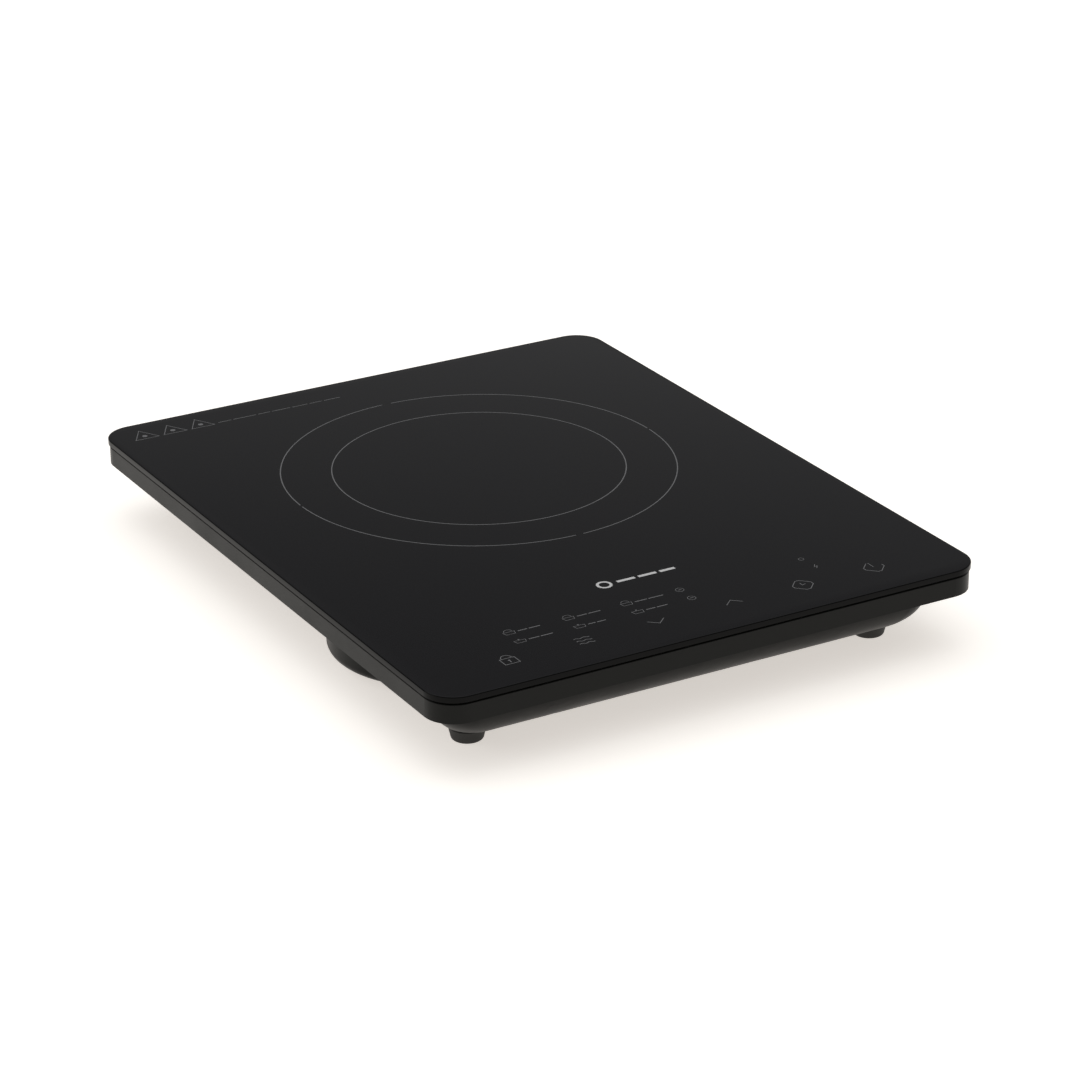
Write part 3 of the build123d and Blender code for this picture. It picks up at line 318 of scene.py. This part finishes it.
def board_finish():
    """Solder mask with buried tracks that show as a lighter, slightly raised pattern."""
    material, tree, shader = new_finish("circuit_board_finish", (0.03, 0.14, 0.06), Coat_Weight=0.3)
    place = add_node(tree, "ShaderNodeTexCoord").outputs["Object"]
    tracks = add_node(
        tree,
        "ShaderNodeTexBrick",
        (("Vector", place), ("Scale", 140.0), ("Mortar Size", 0.09), ("Mortar Smooth", 0.1),
         ("Bias", 0.0), ("Brick Width", 0.9), ("Row Height", 0.28)),
        offset=0.37,
        squash=0.7,
        squash_frequency=3,
    )
    texture = use_group(tree, GRAIN, Grain_Size=0.25, Mottle_Size=18.0)
    base = blend_colours(
        tree, texture.outputs["Mottle"], (0.02, 0.11, 0.045), (0.035, 0.16, 0.07)
    )
    tint = blend_colours(tree, tracks.outputs["Fac"], base, (0.07, 0.27, 0.12))
    tree.links.new(tint, shader.inputs["Base Color"])
    gloss = rough_between(tree, texture.outputs["Mottle"], 0.25, 0.4)
    tree.links.new(gloss, shader.inputs["Roughness"])
    add_bump(tree, shader, tracks.outputs["Fac"], 0.02 * MM)
    return material


def winding_finish(name, colour, centre, pitch):
    """Wound enamelled strands: uneven light and dark bands at a slant to the turns."""
    material, tree, shader = new_finish(name, colour, Metallic=0.85, Coat_Weight=0.4)
    place = add_node(tree, "ShaderNodeTexCoord").outputs["Object"]
    moved = add_node(
        tree,
        "ShaderNodeVectorMath",
        ((0, place), (1, (centre.x, centre.y, 0.0))),
        operation="SUBTRACT",
    )
    scale = 1.0 / (pitch * MM * BAND_SPREAD)
    twist = add_node(
        tree,
        "ShaderNodeTexWave",
        (("Vector", moved.outputs[0]), ("Scale", scale), ("Distortion", 3.0)),
        bands_direction="DIAGONAL",
    )
    tint = blend_colours(tree, twist.outputs["Fac"], [part * 0.55 for part in colour], colour)
    tree.links.new(tint, shader.inputs["Base Color"])
    gloss = rough_between(tree, twist.outputs["Fac"], 0.25, 0.45)
    tree.links.new(gloss, shader.inputs["Roughness"])
    add_bump(tree, shader, twist.outputs["Fac"], 0.15 * MM)
    return material


FINISHES = {
    "black_glass": glass_finish(),
    "seal": moulded("seal_finish", (0.006, 0.006, 0.006), rough=(0.6, 0.75)),
    "housing": moulded(
        "housing_finish", (0.0060, 0.0062, 0.0055), grain=0.3, depth=0.012, rough=(0.34, 0.42),
        lift=1.25, worn=0.8, IOR=1.5, Specular_IOR_Level=0.12,
    ),
    "frame_plastic": moulded("frame_plastic_finish", (0.02, 0.02, 0.02)),
    "foot_rubber": moulded(
        "foot_rubber_finish", (0.018, 0.018, 0.017), grain=0.5, depth=0.03, rough=(0.6, 0.8)
    ),
    "screw_steel": metal("screw_steel_finish", (0.62, 0.62, 0.6), line=2),
    "spring_steel": metal("spring_steel_finish", (0.66, 0.64, 0.6), rough=(0.15, 0.3)),
    "former_plastic": moulded("former_plastic_finish", (0.045, 0.045, 0.045), grain=0.6),
    "ferrite": moulded(
        "ferrite_finish", (0.035, 0.035, 0.04), grain=0.9, depth=0.06, rough=(0.55, 0.8)
    ),
    "copper": winding_finish("copper_finish", (0.72, 0.33, 0.16), COIL_CENTRE, COIL_PITCH),
    "mica": moulded(
        "mica_finish", (0.55, 0.5, 0.4), grain=2.5, depth=0.03, rough=(0.3, 0.6), lift=1.25
    ),
    "silicone": moulded(
        "silicone_finish", (0.7, 0.68, 0.64), rough=(0.45, 0.6), lift=1.1, worn=1.05
    ),
    "sensor_glass": moulded("sensor_glass_finish", (0.2, 0.08, 0.03), rough=(0.12, 0.25)),
    "wire_sleeve": moulded("wire_sleeve_finish", (0.45, 0.04, 0.03), rough=(0.25, 0.4), worn=1.3),
    "circuit_board": board_finish(),
    "connector_plastic": moulded(
        "connector_plastic_finish", (0.72, 0.69, 0.58), rough=(0.35, 0.5), lift=1.08, worn=1.1
    ),
    "heatsink_metal": metal("heatsink_metal_finish", (0.72, 0.73, 0.75), line=1),
    "chip_plastic": moulded("chip_plastic_finish", (0.018, 0.018, 0.02), rough=(0.5, 0.7)),
    "capacitor_case": moulded(
        "capacitor_case_finish", (0.62, 0.42, 0.06), rough=(0.3, 0.45), worn=1.2
    ),
    "transformer_tape": moulded(
        "transformer_tape_finish", (0.68, 0.5, 0.06), rough=(0.2, 0.4), worn=1.2
    ),
    "capacitor_sleeve": moulded("capacitor_sleeve_finish", (0.015, 0.02, 0.06), rough=(0.15, 0.3)),
    "fuse_glass": moulded("fuse_glass_finish", (0.6, 0.64, 0.64), rough=(0.05, 0.12), worn=1.1),
    "terminal_metal": metal("terminal_metal_finish", (0.78, 0.62, 0.34), rough=(0.2, 0.35)),
    "varistor_coat": moulded(
        "varistor_coat_finish", (0.03, 0.1, 0.36), rough=(0.2, 0.35), worn=1.4
    ),
    "fan_plastic": moulded("fan_plastic_finish", (0.014, 0.014, 0.014), rough=(0.35, 0.5)),
    "bronze": metal("bronze_finish", (0.55, 0.36, 0.18), rough=(0.35, 0.5)),
    "core_steel": metal("core_steel_finish", (0.42, 0.42, 0.43), rough=(0.35, 0.5), line=0),
    "magnet": moulded("magnet_finish", (0.05, 0.045, 0.04), grain=0.7, depth=0.04),
    "shaft_steel": metal("shaft_steel_finish", (0.75, 0.75, 0.76), rough=(0.08, 0.16)),
    "clip_plastic": moulded("clip_plastic_finish", (0.66, 0.66, 0.64), lift=1.1, worn=1.1),
    "light_lens": moulded("light_lens_finish", (0.75, 0.7, 0.58), rough=(0.08, 0.16), worn=1.1),
    "display_face": moulded("display_face_finish", (0.05, 0.05, 0.05), rough=(0.08, 0.16)),
    "ribbon": moulded("ribbon_finish", (0.6, 0.6, 0.63), rough=(0.3, 0.5), worn=1.1),
}
PRINT_GREY = ink_finish("print_grey_finish", (0.175, 0.175, 0.18))
PRINT_WHITE = ink_finish("print_white_finish", (0.72, 0.72, 0.72))

for part in frame["record"]["subparts"]:
    node = frame["nodes"][part["node"]]
    node.data.materials.clear()
    node.data.materials.append(FINISHES[part["material_slot"]])


# ---------------------------------------------------------------- mesh helpers
def finish_piece(name, mesh, material, nodes=(), smooth_angle=30):
    """Puts a finished bmesh in the scene as one piece that rides on the hob's body."""
    bmesh.ops.recalc_face_normals(mesh, faces=mesh.faces)
    data = bpy.data.meshes.new(name)
    mesh.to_mesh(data)
    mesh.free()
    data.materials.append(material)
    piece = bpy.data.objects.new(name, data)
    bpy.context.collection.objects.link(piece)
    for face in data.polygons:
        face.use_smooth = True
    data.set_sharp_from_angle(angle=math.radians(smooth_angle))
    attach(piece, BODY)
    if nodes:
        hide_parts(*nodes)


def rounded_ring(low, high, radius, inset, height, steps=14):
    """Points of a rounded rectangle inset from a box, at a height."""
    corner = max(radius - inset, 0.0001)
    left, right = low.x + inset + corner, high.x - inset - corner
    front, back = low.y + inset + corner, high.y - inset - corner
    points = []
    for centre_x, centre_y, start in (
        (right, back, 0), (left, back, 90), (left, front, 180), (right, front, 270)
    ):
        for step in range(steps + 1):
            angle = math.radians(start + 90 * step / steps)
            points.append(
                Vector((
                    centre_x + corner * math.cos(angle), centre_y + corner * math.sin(angle), height
                ))
            )
    return points


def skin_rings(mesh, rings):
    """Quads between successive rings of equal length, and a face over each end."""
    made = [[mesh.verts.new(point) for point in ring] for ring in rings]
    count = len(made[0])
    for lower, upper in zip(made, made[1:]):
        for index in range(count):
            following = (index + 1) % count
            mesh.faces.new((lower[index], lower[following], upper[following], upper[index]))
    mesh.faces.new(list(reversed(made[0])))
    mesh.faces.new(made[-1])


# ---------------------------------------------------------------- glass
GLASS_CORNER = 15.0 * MM
PRINT_THICKNESS = 0.02 * MM
GLASS_TOP = GLASS_HIGH.z - PRINT_THICKNESS
ARRIS = 0.6 * MM
LOWER_ARRIS = 0.6 * MM
ARRIS_STEPS = 5
ARRIS_ANGLE = 40


def make_glass():
    """Plate with a polished, slightly rounded arris above and a flat ground one below."""
    low, high = GLASS_LOW, GLASS_HIGH
    rings = [
        rounded_ring(low, high, GLASS_CORNER, LOWER_ARRIS, low.z),
        rounded_ring(low, high, GLASS_CORNER, 0.0, low.z + LOWER_ARRIS),
    ]
    for step in range(ARRIS_STEPS + 1):
        angle = math.radians(90 * step / ARRIS_STEPS)
        inset = ARRIS * (1 - math.cos(angle))
        height = GLASS_TOP - ARRIS * (1 - math.sin(angle))
        rings.append(rounded_ring(low, high, GLASS_CORNER, inset, height))
    mesh = bmesh.new()
    skin_rings(mesh, rings)
    finish = FINISHES["black_glass"]
    finish_piece("glass_plate", mesh, finish, ("glass_panel",), ARRIS_ANGLE)


make_glass()


# ---------------------------------------------------------------- printed marks
class Print:
    """Flat printed shapes on the glass, gathered into one mesh; plan sizes are in millimetres."""

    def __init__(self):
        self.mesh = bmesh.new()

    def slab(self, outline):
        """Closed slab of print over a plan outline."""
        low = [self.mesh.verts.new((x * MM, y * MM, GLASS_TOP)) for x, y in outline]
        top = [self.mesh.verts.new((x * MM, y * MM, GLASS_HIGH.z)) for x, y in outline]
        count = len(outline)
        flat = [Vector((x, y, 0.0)) for x, y in outline]
        for a, b, c in tessellate_polygon([flat]):
            self.mesh.faces.new((top[a], top[b], top[c]))
            self.mesh.faces.new((low[c], low[b], low[a]))
        for index in range(count):
            following = (index + 1) % count
            self.mesh.faces.new((low[index], low[following], top[following], top[index]))

    def stroke(self, points, width, closed=False):
        """Line of even width through the points, mitred at its corners."""
        points = [Vector(point) for point in points]
        count = len(points)
        left, right = [], []
        for index, point in enumerate(points):
            before = points[index - 1] if index or closed else None
            after = points[(index + 1) % count] if index < count - 1 or closed else None
            into = (point - before).normalized() if before is not None else None
            out = (after - point).normalized() if after is not None else None
            along = ((into or out) + (out or into)).normalized()
            across = Vector((-along.y, along.x))
            reach = width / 2
            if into is not None and out is not None:
                reach /= max(along.dot(out), 0.4)
            left.append(point + across * reach)
            right.append(point - across * reach)
        if closed:
            left.append(left[0])
            right.append(right[0])
        self.band(left, right, closed)

    def band(self, left, right, closed):
        """Closed strip of print between two edges of equal length."""
        last = len(left) - 1
        corners = []
        for height in (GLASS_TOP, GLASS_HIGH.z):
            for edge in (left, right):
                used = edge[:-1] if closed else edge
                corners.append([self.mesh.verts.new((p[0] * MM, p[1] * MM, height)) for p in used])
        low_left, low_right, top_left, top_right = corners
        count = len(low_left)
        for index in range(last):
            following = (index + 1) % count
            quads = (
                (top_left[index], top_left[following], top_right[following], top_right[index]),
                (low_right[index], low_right[following], low_left[following], low_left[index]),
                (low_left[index], low_left[following], top_left[following], top_left[index]),
                (top_right[index], top_right[following], low_right[following], low_right[index]),
            )
            for quad in quads:
                self.mesh.faces.new(quad)
        if not closed:
            for index in (0, -1):
                self.mesh.faces.new(
                    (low_left[index], top_left[index], top_right[index], low_right[index])
                )

    def arc(self, centre, radius, start, end, width, steps=24):
        """Part of a ring between two angles in degrees."""
        points = arc_points(centre, radius, start, end, steps)
        self.stroke(points, width)

    def ring(self, centre, radius, width, steps):
        """Whole ring of an even width."""
        self.stroke(circle_points(centre, radius, steps), width, True)

    def disc(self, centre, radius, steps=20):
        """Filled circle."""
        self.slab(circle_points(centre, radius, steps))

    def bar(self, centre, size):
        """Filled rectangle."""
        x, y = centre
        half_x, half_y = size[0] / 2, size[1] / 2
        self.slab(((x - half_x, y - half_y), (x + half_x, y - half_y),
                   (x + half_x, y + half_y), (x - half_x, y + half_y)))

    def finish(self, name, material):
        """One piece on the glass from all that was drawn."""
        finish_piece(name, self.mesh, material)


def arc_points(centre, radius, start, end, steps):
    """Evenly spaced points of an arc, in degrees."""
    angles = [math.radians(start + (end - start) * step / steps) for step in range(steps + 1)]
    return [
        (centre[0] + radius * math.cos(angle), centre[1] + radius * math.sin(angle))
        for angle in angles
    ]


def circle_points(centre, radius, steps):
    """Evenly spaced points of a whole circle, without a repeat at the end."""
    return arc_points(centre, radius, 0, 360 * (steps - 1) / steps, steps - 1)


ZONE = (0.0, 41.5)
INNER_RING, OUTER_RING = 70.9, 95.5
OUTER_ARCS = ((0.6, 88.6), (91.6, 179.4), (180.6, 268.8), (271.2, 359.4))
RING_WIDTH = 0.52


def print_zone():
    """The two cooking rings: the outer one is four arcs with short gaps between them."""
    marks = Print()
    marks.ring(ZONE, INNER_RING, RING_WIDTH, 180)
    for start, end in OUTER_ARCS:
        marks.arc(ZONE, OUTER_RING, start, end, RING_WIDTH, 60)
    marks.finish("printed_rings", PRINT_GREY)


KEY_LINE, ICON_LINE = 0.38, 0.26
KEY_ROW = -154.0
LOCK_X, MENU_X, DOWN_X, UP_X, TIMER_X, POWER_X = -94.5, -56.6, -19.2, 20.0, 56.8, 95.2
KEY_REACH, KEY_CUT = 4.2, 1.4


def octagon(centre, reach, cut):
    """Corners of a square of half size reach with its corners cut, turned on its point."""
    points = []
    for turn in range(4):
        angle = math.radians(45 + 90 * turn)
        for side in (-1, 1):
            across = side * (reach - cut)
            points.append((
                centre[0] + reach * math.cos(angle) - across * math.sin(angle),
                centre[1] + reach * math.sin(angle) + across * math.cos(angle),
            ))
    return points


def print_lock(marks):
    """Padlock with its shackle and keyhole."""
    left, right, foot, top = LOCK_X - 3.6, LOCK_X + 3.6, KEY_ROW - 4.4, KEY_ROW + 1.2
    marks.stroke(((left, foot), (right, foot), (right, top), (left, top)), KEY_LINE, True)
    marks.arc((LOCK_X, KEY_ROW + 1.6), 2.5, 0, 180, KEY_LINE)
    marks.disc((LOCK_X, KEY_ROW - 1.0), 0.55)
    marks.bar((LOCK_X, KEY_ROW - 2.2), (0.5, 1.8))


def print_menu(marks):
    """Three short wavy lines, one above another."""
    for rise in (-2.7, 0.0, 2.7):
        points = [
            (MENU_X - 3.8 + 0.4 * step, KEY_ROW + rise + 0.35 * math.sin(step * math.pi / 5))
            for step in range(20)
        ]
        marks.stroke(points, KEY_LINE)


def print_chevron(marks, x, foot, rise):
    """Two strokes that meet in a point, upward where the rise is positive."""
    marks.stroke(((x - KEY_REACH, foot), (x, foot + rise), (x + KEY_REACH, foot)), KEY_LINE)


def print_keys():
    """Symbols of the six touch keys: lock, menu, down, up, timer and power."""
    marks = Print()
    print_lock(marks)
    print_menu(marks)
    print_chevron(marks, DOWN_X, KEY_ROW + 2.2, -3.8)
    print_chevron(marks, UP_X, KEY_ROW - 0.8, 3.8)
    timer = (TIMER_X, KEY_ROW + 0.3)
    marks.stroke(octagon(timer, KEY_REACH, KEY_CUT), KEY_LINE, True)
    hands = ((-0.2, 2.4), (-0.2, 0.0), (1.7, 0.6))
    marks.stroke([(timer[0] + x, timer[1] + y) for x, y in hands], KEY_LINE)
    power = (POWER_X, KEY_ROW + 0.3)
    corners = octagon(power, KEY_REACH, KEY_CUT)
    marks.stroke(corners[2:] + corners[:1], KEY_LINE)
    marks.bar((power[0], power[1] + 2.6), (KEY_LINE, 4.6))
    marks.finish("printed_keys", PRINT_GREY)


def print_pan(marks, centre, domed):
    """Small saucepan seen from the side, with a domed lid or only a knob."""
    x, y = centre
    sides = ((x - 2.8, y + 0.5), (x - 2.2, y - 1.9), (x + 2.2, y - 1.9), (x + 2.8, y + 0.5))
    marks.stroke(sides, ICON_LINE, True)
    if domed:
        marks.arc((x, y + 0.7), 2.1, 12, 168, ICON_LINE, 12)
    else:
        marks.disc((x, y + 1.4), 0.45, 12)


# rows of pans: height, whether the lid is domed, then for each pan its x and its bars' lengths
PAN_ROWS = (
    (-130.6, True, ((-80.8, 4.6, 5.6), (-51.0, 5.0, 6.2), (-21.3, 6.2, 7.6))),
    (-140.2, False, ((-80.8, 5.2, 6.0), (-51.0, 3.8, 4.4), (-21.3, 4.8, 5.4))),
)
PAN_TO_BAR, BAR_HEIGHT, BAR_GAP = 4.2, 0.6, 0.8
LAMP_PLACES = ((6.7, -130.2), (6.7, -140.2))
LAMP_RADIUS, LAMP_BAR = 1.9, (1.8, 0.4)


def print_modes():
    """Six cooking programmes as small pans with plain bars, and four small round or bent marks."""
    marks = Print()
    for y, domed, pans in PAN_ROWS:
        for x, *bars in pans:
            print_pan(marks, (x, y), domed)
            start = x + PAN_TO_BAR
            for length in bars:
                marks.bar((start + length / 2, y - 0.4), (length, BAR_HEIGHT))
                start += length + BAR_GAP
    for place in LAMP_PLACES:
        marks.ring(place, LAMP_RADIUS, ICON_LINE, 24)
        marks.bar(place, LAMP_BAR)
    marks.ring((71.9, -129.6), 1.3, ICON_LINE, 20)
    zigzag = ((73.9, -137.6), (72.4, -139.6), (74.0, -139.4), (72.6, -141.4))
    marks.stroke(zigzag, 0.35)
    marks.finish("printed_modes", PRINT_GREY)


EMBLEM_ROW = -108.4
EMBLEM_RING_X, EMBLEM_RING_RADIUS, EMBLEM_RING_LINE = -19.4, 3.1, 1.3
EMBLEM_BAR_HEIGHT = 1.9
EMBLEM_BARS = ((-12.8, -3.4), (-1.6, 7.8), (9.6, 17.6))


def print_emblem():
    """Bold plain shapes: a ring, then three bars."""
    marks = Print()
    marks.ring((EMBLEM_RING_X, EMBLEM_ROW), EMBLEM_RING_RADIUS, EMBLEM_RING_LINE, 40)
    for start, end in EMBLEM_BARS:
        marks.stroke(((start, EMBLEM_ROW), (end, EMBLEM_ROW)), EMBLEM_BAR_HEIGHT)
    marks.finish("printed_emblem", PRINT_WHITE)


TRIANGLE_X = (-122.4, -107.3, -92.2)
TRIANGLE_HALF, TRIANGLE_FOOT, TRIANGLE_TOP = 6.2, 156.4, 167.2
DOT_HEIGHT, DOT_RADIUS = 159.8, 1.3
RULE_START, RULE_HEIGHT, RULE_WIDTH, RULE_GAP = -83.5, 157.6, 0.45, 1.2
RULE_LENGTHS = (7.0, 12.5, 6.5, 10.0, 8.5, 7.0, 9.0)


def print_corner_note():
    """Plain triangles with dots and a broken rule in the back corner, with no wording."""
    marks = Print()
    for x in TRIANGLE_X:
        left, right = (x - TRIANGLE_HALF, TRIANGLE_FOOT), (x + TRIANGLE_HALF, TRIANGLE_FOOT)
        marks.stroke((left, right, (x, TRIANGLE_TOP)), KEY_LINE, True)
        marks.disc((x, DOT_HEIGHT), DOT_RADIUS, 16)
    start = RULE_START
    for length in RULE_LENGTHS:
        marks.bar((start + length / 2, RULE_HEIGHT), (length, RULE_WIDTH))
        start += length + RULE_GAP
    marks.finish("printed_corner_note", PRINT_GREY)


print_zone()
print_keys()
print_modes()
print_emblem()
print_corner_note()


# ---------------------------------------------------------------- stage, light and camera
FLOOR_REACH = 7.0
FLOOR_CORNERS = ((-1, -1), (1, -1), (1, 1), (-1, 1))


def make_floor():
    """Wide plain pale floor at the height of the feet, with a faint warm glow of its own."""
    mesh = bmesh.new()
    corners = [mesh.verts.new((x * FLOOR_REACH, y * FLOOR_REACH, 0.0)) for x, y in FLOOR_CORNERS]
    mesh.faces.new(corners)
    data = bpy.data.meshes.new("floor")
    mesh.to_mesh(data)
    mesh.free()
    floor = bpy.data.objects.new("floor", data)
    bpy.context.collection.objects.link(floor)
    material, _, _ = new_finish(
        "floor_finish", (0.84, 0.84, 0.82), Roughness=0.9, Specular_IOR_Level=0.1,
        Emission_Color=(1.0, 0.94, 0.88, 1.0), Emission_Strength=0.62,
    )
    data.materials.append(material)


def softbox(name, place, width, height, power):
    """Rectangular soft white light aimed at the middle of the floor."""
    data = bpy.data.lights.new(name, "AREA")
    data.shape = "RECTANGLE"
    data.size, data.size_y = width, height
    data.energy = power
    lamp = bpy.data.objects.new(name, data)
    bpy.context.collection.objects.link(lamp)
    lamp.location = place
    lamp.rotation_euler = (-Vector(place)).to_track_quat("-Z", "Y").to_euler()


DOME_START, DOME_END = 0.58, 0.80
WALL_LIGHT, DOME_LIGHT = 0.215, 0.86


def make_studio():
    """Surroundings: a pale dome overhead that falls to a dark wall near the horizon."""
    world = bpy.data.worlds.new("studio")
    world.use_nodes = True
    tree = world.node_tree
    up = add_node(tree, "ShaderNodeSeparateXYZ")
    tree.links.new(add_node(tree, "ShaderNodeTexCoord").outputs["Generated"], up.inputs[0])
    dome = add_node(
        tree,
        "ShaderNodeMapRange",
        (("Value", up.outputs["Z"]), ("From Min", DOME_START), ("From Max", DOME_END),
         ("To Min", WALL_LIGHT), ("To Max", DOME_LIGHT)),
        interpolation_type="SMOOTHSTEP",
    )
    tree.links.new(dome.outputs[0], tree.nodes["Background"].inputs["Strength"])
    tree.nodes["Background"].inputs["Color"].default_value = (1.0, 1.0, 1.0, 1.0)
    bpy.context.scene.world = world


CAMERA_AZIMUTH, CAMERA_ELEVATION, CAMERA_ROLL = -29.80, 23.56, -0.36
CAMERA_DISTANCE = 1.6775
CAMERA_TARGET = Vector((-0.0193, -0.0508, GLASS_HIGH.z + 0.0002))
CAMERA_LENS, SENSOR_WIDTH = 121.8, 36.0


def make_camera():
    """Camera on a sphere about its target, with a slight roll."""
    azimuth, elevation = math.radians(CAMERA_AZIMUTH), math.radians(CAMERA_ELEVATION)
    back = Vector((
        math.sin(azimuth) * math.cos(elevation),
        -math.cos(azimuth) * math.cos(elevation),
        math.sin(elevation),
    ))
    data = bpy.data.cameras.new("camera")
    data.sensor_width = SENSOR_WIDTH
    data.lens = CAMERA_LENS
    data.clip_start, data.clip_end = 0.05, 40.0
    camera = bpy.data.objects.new("camera", data)
    bpy.context.collection.objects.link(camera)
    camera.location = CAMERA_TARGET + back * CAMERA_DISTANCE
    camera.rotation_mode = "QUATERNION"
    roll = Quaternion(Vector((0.0, 0.0, 1.0)), math.radians(CAMERA_ROLL))
    camera.rotation_quaternion = (-back).to_track_quat("-Z", "Y") @ roll
    bpy.context.scene.camera = camera


make_floor()
softbox("overhead", (-0.5, 0.4, 2.4), 3.0, 3.0, 11)
softbox("left_side", (-2.2, 0.9, 1.2), 1.8, 1.2, 7)
make_studio()
make_camera()
bpy.context.scene.view_settings.view_transform = "Standard"
